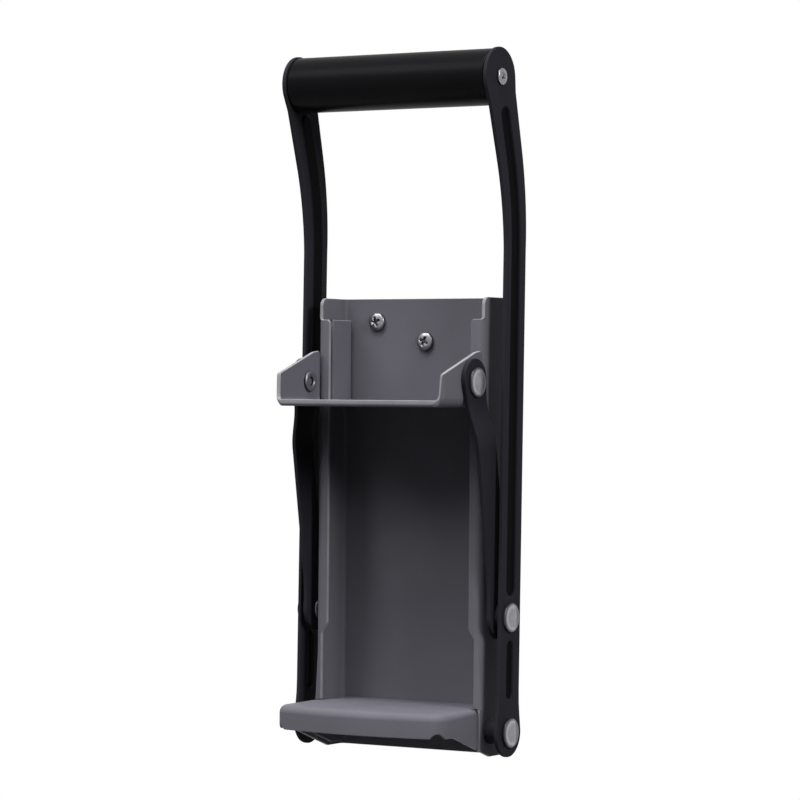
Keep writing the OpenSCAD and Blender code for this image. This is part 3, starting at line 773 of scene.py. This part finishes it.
def shelf_bend(x, y):
    """Outside radius of the bend into the skirt, tighter towards the wall."""
    along = (y - SHELF_CORNER_Y) / (SHELF_REAR - SHELF_CORNER_Y)
    return SHELF_BEND + (SHELF_BEND_REAR - SHELF_BEND) * held(along)


def skirt_depth(x, y):
    """Depth of the shelf's skirt: even in front, deeper towards the wall, notched at the corners."""
    depth = max(SKIRT_FRONT, -skirt_z(y))
    middle = (HALF_W - SHELF_CORNER + SHELF_CORNER * sin(radians(45)),
              SHELF_CORNER_Y - SHELF_CORNER * cos(radians(45)))
    aside = hypot(abs(x) - middle[0], y - middle[1]) / (NOTCH_W / 2)
    if aside < 1:
        depth -= NOTCH_H * (1 - aside * aside)
    return depth


def build_shelf():
    wide, back = HALF_W - SHEET - SHELF_BEND, -SHEET - FIT
    tongue = [(wide, SHELF_REAR), (wide, back), (-wide, back), (-wide, SHELF_REAR)]
    bm = tray(shelf_plan(), tongue, shelf_bend, skirt_depth, 0, -1)
    for side in SIDES.values():
        add_shelf_tab(bm, side)
    piece(bm, "base_shelf_sheet", "frame", "frame_gray", ["base_shelf"])


def add_shelf_tab(bm, side):
    """The tab inside the channel's side wall that carries the pivot rivet, joined on to bm."""
    front, back = -CHANNEL_D - 2 * SHELF_BEND, -SHEET - CHANNEL_BEND
    low, high = -CHANNEL_DROP + SHEET, -SHEET - 2 * FIT
    outline = [(front, high), (front, skirt_z(front) + SHEET), (-SKIRT_DEEP_OUT, low), (back, low),
               (back, high)]
    tab = sheet_solid(outline, SHEET)
    reshape(tab, lambda y, z, h: (HALF_W - 2 * SHEET - TAB_GAP + h, y, z))
    mirrored(tab, side)
    mesh = bpy.data.meshes.new("tab")
    tab.to_mesh(mesh)
    tab.free()
    bm.from_mesh(mesh)
    bpy.data.meshes.remove(mesh)


def plate_bend(x, y):
    """Outside radius of the bend: tight along the front, wide under the ears."""
    turn = (abs(x) - HALF_W + PLATE_BEND) / PLATE_BEND
    return PLATE_FRONT_BEND + (PLATE_BEND - PLATE_FRONT_BEND) * smooth(turn)


def ear_height(x, y):
    """Height of the crush plate's wall: the low curl along the front, and the sloped ears."""
    along = (y + PLATE_REACH) / (PLATE_REACH + PLATE_REAR - EAR_FLAT)
    ear = min(EAR_FRONT + (EAR_REAR - EAR_FRONT) * along, EAR_REAR)
    into = (y - PLATE_REAR + EAR_CORNER) / EAR_CORNER
    if into > 0:
        ear -= EAR_CORNER * (1 - sqrt(max(0, 1 - into * into)))
    # the ear falls to the curl's height part of the way round the corner
    fall_from, fall_over = 0.45, 0.25
    round_corner = (PLATE_BEND - PLATE_REACH - y) / PLATE_BEND
    return ear + (PLATE_CURL - ear) * held((round_corner - fall_from) / fall_over)


def plate_plan():
    """The crush plate's outline from its left rear end round the front to its right rear end."""
    half, corner_y = HALF_W - PLATE_BEND, -PLATE_REACH + PLATE_BEND
    ear_end = PLATE_REAR - EAR_CORNER
    steps = 16
    right = [(half + PLATE_BEND * sin(a), corner_y - PLATE_BEND * cos(a), sin(a), -cos(a))
             for a in (pi / 2 * i / steps for i in range(steps + 1))]
    right += [(HALF_W, corner_y + (ear_end - corner_y) * i / 8, 1, 0) for i in range(1, 9)]
    right += [(HALF_W, ear_end + EAR_CORNER * sin(radians(15 * i)), 1, 0) for i in range(1, 7)]
    left = [(-x, y, -nx, ny) for x, y, nx, ny in reversed(right)]
    return left + right


def build_plate():
    neck = HALF_W - LIP_W - GUIDE_GAP
    out = HALF_W - SHEET - GUIDE_GAP
    r = CHANNEL_BEND - SHEET + GUIDE_GAP
    right = [(neck, PLATE_REAR), (neck, GUIDE_FRONT), *arc(out - r, GUIDE_FRONT + r, r, -90, 0, 5),
             *arc(out - r, GUIDE_BACK - r, r, 0, 90, 5)]
    tongue = right + [(-x, y) for x, y in reversed(right)]
    # the plate's low front curl gets a painted highlight
    bm = tray(plate_plan(), tongue, plate_bend, ear_height, PLATE_Z, 1, face_highlight=0.8)
    piece(bm, "crush_plate_sheet", "plate", "frame_gray", ["crush_plate"])
    for name, side in SIDES.items():
        build_guide(name, side)


def build_guide(name, side):
    """A guide flange: its face stands in line with the lip's edge, and it turns outward along the
    web and behind the lip."""
    face, end = HALF_W - LIP_W, HALF_W - CHANNEL_BEND
    bend = (GUIDE_BEND - GUIDE_T / 2) * pi / 2
    flange = end - face - GUIDE_BEND
    depth = GUIDE_BACK - GUIDE_FRONT - 2 * GUIDE_BEND
    legs = [(flange, 0), (bend, 90), (depth, 0), (bend, 90), (flange, 0)]
    total, r = run(legs), GUIDE_CORNER
    outline = [(0, SHEET / 2), (total, SHEET / 2), *arc(total - r, GUIDE_H - r, r, 0, 90, 3),
               *arc(r, GUIDE_H - r, r, 90, 180, 3)]
    bm = sheet_solid(outline, GUIDE_T)
    for first in (1, 3):
        slice_across(bm, 0, [run(legs[:first]) + bend * i / 5 for i in range(6)])

    def place(u, v, h):
        x, y, heading = follow(legs, u)
        h -= GUIDE_T / 2
        return (end - x + h * sin(heading), GUIDE_BACK - GUIDE_T / 2 - y + h * cos(heading),
                PLATE_Z + v)

    mirrored(reshape(bm, place), side)
    piece(bm, "guide_flange_" + name, "plate", "frame_gray", [])


# ---------------------------------------------------------------- links


def build_link(name, side):
    """The flat strip with its round ends, stepped outward between eye and foot."""
    span = hypot(PLATE_PIN[0] - CRANK[0], PLATE_PIN[1] - CRANK[1])
    lean = asin((CRANK[0] - PLATE_PIN[0]) / span)
    half = LINK_W / 2
    foot = arc(0, 0, LINK_FOOT, -90, LEAVE, 18)
    eye = arc(0, span + LINK_EYE_UP, LINK_EYE, -LEAVE, 90, 18)

    def taper(start, end):
        """The edge from the point start on a round end in to the strip's own side at height end."""
        side, z = start
        return [(half + (side - half) * (1 - t) ** 2, z + (end - z) * t)
                for t in (i / 5 for i in range(1, 6))]

    right = [*foot, *taper(foot[-1], LINK_FOOT_TAPER),
             *reversed(taper(eye[0], span - LINK_EYE_TAPER)), *eye]
    outline = right + [(-x, z) for x, z in reversed(right[1:-1])]
    bm = sheet_solid(outline, LINK_T)
    low, high = span - LINK_STEP_TO, span - LINK_STEP_FROM
    slice_across(bm, 1, [low + (high - low) * i / 14 for i in range(15)])

    def place(y, z, h):
        x = EYE_IN + h + LINK_STEP * smooth((high - z) / (high - low))
        return (x, CRANK[0] - y * cos(lean) - z * sin(lean),
                CRANK[1] + z * cos(lean) - y * sin(lean))

    mirrored(reshape(bm, place), side)
    piece(bm, "link_strip_" + name, "link_" + name, "lever_black", ["link_" + name])


# ---------------------------------------------------------------- lever


def arm_point(s):
    """[forward, up, direction] of the arm's middle line at length s above the pivot."""
    bend_l = ARM_BEND * (ARM_LEAN + ARM_TIP_ANGLE)
    start = (-sin(ARM_LEAN) * ARM_STRAIGHT, cos(ARM_LEAN) * ARM_STRAIGHT)
    if s < ARM_STRAIGHT:
        return -sin(ARM_LEAN) * s, cos(ARM_LEAN) * s, -ARM_LEAN
    a = min((s - ARM_STRAIGHT) / ARM_BEND, ARM_LEAN + ARM_TIP_ANGLE) - ARM_LEAN
    rest = max(s - ARM_STRAIGHT - bend_l, 0)
    return (start[0] + ARM_BEND * (cos(ARM_LEAN) - cos(a)) + rest * sin(a),
            start[1] + ARM_BEND * (sin(ARM_LEAN) + sin(a)) + rest * cos(a), a)


ARM_LENGTH = ARM_STRAIGHT + ARM_BEND * (ARM_LEAN + ARM_TIP_ANGLE) + ARM_TIP
GRIP = (PIVOT[0] - arm_point(ARM_LENGTH)[0], PIVOT[1] + arm_point(ARM_LENGTH)[1])


def beside_arm(s, aside):
    """y and z of the point that lies aside, forward, of the arm's middle line at length s."""
    forward, up, a = arm_point(s)
    return PIVOT[0] - forward - aside * cos(a), PIVOT[1] + up - aside * sin(a)


def end_arc(s, r, start, end, steps):
    """An arc about the middle line at length s. Its angles start forward and turn to the grip."""
    y, z = beside_arm(s, 0)
    a = arm_point(s)[2]
    return [(y - aside * cos(a) - along * sin(a), z - aside * sin(a) + along * cos(a))
            for aside, along in arc(0, 0, r, start, end, steps)]


def arm_stations(start, end, steps):
    """Lengths from start to end: the ends and those between them that lie on the bend."""
    bend_end = ARM_LENGTH - ARM_TIP
    inner = [ARM_STRAIGHT + (bend_end - ARM_STRAIGHT) * i / steps for i in range(steps + 1)]
    return [start] + [s for s in inner if start < s < end] + [end]


def arm_outline():
    """The arm's outline: two round ends, and sides that spread a little towards the grip."""
    half = ARM_W / 2
    tip_half = ARM_END - 1.5
    neck = ((9, 1.0), (15, 0.25))       # lengths where the lower eye still stands out, and how far

    def width(s):
        if s < ARM_STRAIGHT:
            return half
        t = (s - ARM_STRAIGHT) / (ARM_LENGTH - ARM_STRAIGHT)
        return half + (tip_half - half) * t

    stations = arm_stations(22, ARM_LENGTH - 11, 16)
    forward = [beside_arm(s, half + out) for s, out in neck]
    forward += [beside_arm(s, width(s)) for s in stations]
    rear = [beside_arm(s, -width(s)) for s in reversed(stations)]
    rear += [beside_arm(s, -half - out) for s, out in reversed(neck)]
    return (forward + end_arc(ARM_LENGTH, ARM_END, -LEAVE, 180 + LEAVE, 28)
            + rear + end_arc(0, ARM_EYE, 180 - LEAVE, 360 + LEAVE, 28))


def groove_at(start, end):
    """The loop at a distance from the line between two lengths along the arm."""
    def loop(d):
        stations = arm_stations(start, end, 16)
        return ([beside_arm(s, d) for s in stations] + end_arc(end, d, LEAVE, 180 - LEAVE, 10)
                + [beside_arm(s, -d) for s in reversed(stations)]
                + end_arc(start, d, 180 + LEAVE, 360 - LEAVE, 10))
    return loop


def groove_profile(half):
    """Soft-edged pressing: distances from its middle line and how deep the sheet sinks there."""
    slope = 1.7
    return [(half + slope * (0.5 - t), GROOVE_DEPTH * smooth(t)) for t in (i / 6 for i in range(7))]


def build_arm(name, side):
    # the pressings' floors are darkened as painted shade
    presses = [(groove_at(GROOVE_FROM, ARM_LENGTH - GROOVE_TO), groove_profile(GROOVE_HALF)),
               (groove_at(LOW_GROOVE_FROM, LOW_GROOVE_TO), groove_profile(LOW_GROOVE_HALF))]
    outline = arm_outline()
    bm = sheet_solid(outline[::-1], ARM_T, presses=presses)
    reshape(bm, lambda y, z, h: (ARM_IN + h, y, z))
    piece(mirrored(bm, side), "arm_strip_" + name, "lever", "lever_black", ["lever_arm_" + name])


def grip_profile():
    """The grip's section, once round from its bore, as (x, radius)."""
    half = ARM_IN - FIT
    bore = TIE_ROD_R + FIT
    end = arc(half - GRIP_END, GRIP_R - GRIP_END, GRIP_END, 0, 90, 6)
    spaced = [half - GRIP_END - (2 * half - 2 * GRIP_END) * i / 24 for i in range(1, 24)]
    outer = end + [(x, GRIP_R) for x in spaced] + [(-x, r) for x, r in reversed(end)]
    return [(half, bore)] + outer + [(-half, bore), (half, bore)]


def place_on_x(bm, x, at):
    """Moves a mesh drawn about the X axis to x, with its axis through the point at, (y, z)."""
    bmesh.ops.translate(bm, vec=(x, at[0], at[1]), verts=bm.verts)
    return bm


def build_grip():
    bm = lathe([(x, r, 0) for x, r in grip_profile()], 96)
    piece(place_on_x(bm, 0, GRIP), "grip_moulding", "lever", "grip_black", ["grip_sleeve"])


# ---------------------------------------------------------------- rivets and screws


def button(x, r, h):
    """Profile of a rivet's low domed head, from its rim at x out to its top."""
    rim, shoulder = 0.5 * h, 0.9 * r
    cap = 0.3 * h
    ball = (shoulder * shoulder + cap * cap) / (2 * cap)
    last = asin(shoulder / ball)
    # painted shade on the crown's edge, then a painted highlight on its shoulder
    crown_shade_and_shine = (0.6, -0.35, -0.2)
    crown = [(h - ball + ball * cos(last * (1 - i / 9)), ball * sin(last * (1 - i / 9)),
              crown_shade_and_shine[i] if i < len(crown_shade_and_shine) else 0.0) for i in range(10)]
    # the head's rim is darkened all round as painted shade
    points = [(0, r - 0.2, 1.0), (0.2, r, 1.0), (rim, r, 1.0),
              (0.5 * (rim + h - cap), 0.97 * r, 1.0), *crown]
    return [(x + height, radius, wear_and_painted_light) for height, radius, wear_and_painted_light in points]


def rolled(x, r, h):
    """Profile of a rivet's inner end, rolled over round its hollow, from its middle out to x. The
    hollow and the roll's flanks are darkened as painted shade; the crest keeps the metal's colour.
    """
    crest, round_r, sunk = 0.7 * r, 0.3 * r, 1.2
    roll = [(x - h * (0.4 + 0.6 * sin(a)), crest - round_r * cos(a), 1 - sin(a))
            for a in (pi * i / 10 for i in range(11))]
    return [(x + sunk, 0, 1.0), (x + sunk, crest - round_r, 1.0), *roll, (x, r - 0.3, 1.0)]


def rivet(inner, outer, tail=True, head=True):
    """A rivet about the X axis, its shank from inner to outer. Its head is darkened towards the wall
    as painted shade, and its shank as painted shade between the parts.
    """
    profile = rolled(inner, RIVET_TAIL_R, RIVET_TAIL_H) if tail else [(inner, 0, 0)]
    profile += [(inner, RIVET_R, 0.8), (outer, RIVET_R, 0.8)]
    profile += button(outer, RIVET_HEAD_R, RIVET_HEAD_H) if head else [(outer, 0, 0)]
    bm = lathe(profile, RIVET_SEGMENTS)
    layer = bm.verts.layers.float["wear_and_painted_light"]
    # painted shade: the head's half towards the wall darkens
    for v in bm.verts:
        if v.co.x > outer + RIVET_HEAD_H / 2:
            v[layer] = max(v[layer], min(0.85, (v.co.y / RIVET_HEAD_R - 0.3) / 0.3))
    return bm


def washer(inner, outer, r):
    """A flat ring round a rivet, with eased edges that turn a little lighter: partly thin paint,
    partly a painted highlight.
    """
    e, bore = 0.3, RIVET_R + FIT
    return lathe([(inner, bore, 0.6), (inner, r - e, 0.2), (inner + e, r, 0.5), (outer - e, r, 0.5),
                  (outer, r - e, 0.2), (outer, bore, 0.6), (inner, bore, 0.6)], RIVET_SEGMENTS)


def build_rivets():
    """The rivets with their spacers and washers: mesh, axis, node without its side, and body."""
    arm_out, tab_in = ARM_IN + ARM_T, HALF_W - 2 * SHEET
    foot_out = FOOT_IN + LINK_T + SIDE_CLEAR
    for name, side in SIDES.items():
        link = "link_" + name
        made = (
            (rivet(tab_in, arm_out + SIDE_CLEAR), PIVOT, "pivot_rivet_", "frame"),
            (rivet(FOOT_IN - SIDE_CLEAR, arm_out), CRANK, "crank_rivet_", "lever"),
            (rivet(HALF_W - SHEET, HALF_W, head=False), PLATE_PIN, "plate_rivet_tail_", "plate"),
            (rivet(EYE_IN, EYE_IN + LINK_T, tail=False), PLATE_PIN, "plate_rivet_head_", link),
            (washer(HALF_W, ARM_IN - SIDE_CLEAR, SPACER_R), PIVOT, "pivot_spacer_", "frame"),
            (washer(foot_out, ARM_IN, WASHER_R), CRANK, "crank_washer_", "lever"),
        )
        for bm, at, node, body in made:
            mirrored(place_on_x(bm, 0, at), side)
            slot = "rivet_zinc" if "rivet" in node else "lever_black"
            piece(bm, node + name + "_metal", body, slot, [node + name])


def screw_head(r, h):
    """A pan head with a cross recess, its underside at x = 0. The recess and the rim under the head
    are darkened as painted shade.
    """
    rim, rings, segments = 0.42 * h, 22, 72
    bm = new_mesh()
    layer = bm.verts.layers.float["wear_and_painted_light"]
    made = [ring(bm, [(0, 0, 0)]) * segments]

    def sunk_circle(x, radius, wear_and_painted_light):
        """A circle of the head, pressed in and darkened as painted shade where it crosses the
        recess.
        """
        points = [(x - recess(y, z, r, h), y, z) for _, y, z in circle(x, radius, segments)]
        vertices = ring(bm, points, wear_and_painted_light)
        for v, point in zip(vertices, points):
            v[layer] = max(wear_and_painted_light, min(1, 1.6 * recess(point[1], point[2], r, h) / h))
        return vertices

    made.append(sunk_circle(0, r - 0.25, 1.0))
    made.append(sunk_circle(0.2, r, 0.8))
    made.append(sunk_circle(rim, r, 0.1))
    for i in range(1, rings):
        a = pi / 2 * i / rings
        made.append(sunk_circle(rim + (h - rim) * sin(a) ** 0.9, r * cos(a), 0.0))
    made.append(ring(bm, [(h - recess(0, 0, r, h), 0, 0)], 1.0) * segments)
    skin(bm, made)
    return bm


def recess(y, z, r, h):
    """Depth of the cross recess at a point of a head of radius r and height h."""
    arm, half = 0.56 * r, 0.13 * r

    def blade(along, across):
        """1 inside one bar of the cross, and 0 beyond its sloped sides."""
        inside = min((arm - abs(along)) / (0.22 * r), (half - abs(across)) / (0.07 * r) + 0.5, 1)
        return max(0, inside)

    return 0.55 * h * max(blade(y, z), blade(z, y))


def threaded_shank(bm, neck_l):
    """Adds the neck, thread and point of a wall screw to bm, from x = 0 down to its tip. The neck is
    darkened as painted shade under the head, and the thread a little.
    """
    per_turn, segments = 10, SHANK_SEGMENTS
    lead_in, crest_half = 0.6, 0.24     # length without thread in mm, and part of the pitch
    core = SCREW_R - THREAD_DEPTH
    body = SCREW_L - neck_l
    count = int(body / THREAD_PITCH * per_turn)
    rings = [ring(bm, circle(0, SCREW_NECK_R, segments), 0.6)]
    for k in range(count + 1):
        depth = neck_l + body * k / count
        left = SCREW_L - depth
        shrink = min(1, (left + 0.15) / SCREW_TIP)
        points = []
        for i in range(segments):
            a = 2 * pi * i / segments
            phase = (depth / THREAD_PITCH + i / segments) % 1
            crest = max(0, 1 - abs(phase - 0.5) / crest_half) if lead_in < depth - neck_l else 0
            radius = (core + (SCREW_R - core) * crest) * shrink
            points.append((-depth, radius * cos(a), radius * sin(a)))
        rings.append(ring(bm, points, 0.15))
    skin(bm, rings)
    for end in (rings[0], rings[-1]):
        bm.faces.new(end)
    return bm


def turned(bm, angle):
    """The mesh, turned about the X axis by an angle in degrees."""
    turn = Matrix.Rotation(radians(angle), 3, "X")
    bmesh.ops.rotate(bm, cent=(0, 0, 0), matrix=turn, verts=bm.verts)
    return bm


def build_wall_screws():
    for name, (x, z, turn) in WALL_SCREWS.items():
        bm = turned(threaded_shank(screw_head(SCREW_HEAD_R, SCREW_HEAD_H), SHEET), turn)
        reshape(bm, lambda u, v, w: (x + v, -SHEET - u, z + w))
        node = "wall_screw_" + name
        piece(bm, node + "_metal", "frame", "screw_zinc", [node])


def build_grip_screws():
    for name, side in SIDES.items():
        bm = screw_head(GRIP_SCREW_R, GRIP_SCREW_H)
        # the shank is a little darkened as painted shade inside the arm
        shank = [ring(bm, circle(x, SCREW_R, SHANK_SEGMENTS), 0.3) for x in (0, -GRIP_SCREW_L)]
        skin(bm, shank)
        for end in shank:
            bm.faces.new(end)
        mirrored(place_on_x(turned(bm, GRIP_SCREW_TURN), ARM_IN + ARM_T, GRIP), side)
        node = "grip_screw_" + name
        piece(bm, node + "_metal", "lever", "screw_zinc", [node])


build_channel()
build_shelf()
build_plate()
for side_name, side_sign in SIDES.items():
    build_link(side_name, side_sign)
    build_arm(side_name, side_sign)
build_grip()
build_rivets()
build_wall_screws()
build_grip_screws()

# the tie rod keeps its CAD mesh
tie_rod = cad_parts["grip_tie_rod"].data
tie_rod.materials.clear()
tie_rod.materials.append(MATERIALS["screw_zinc"])
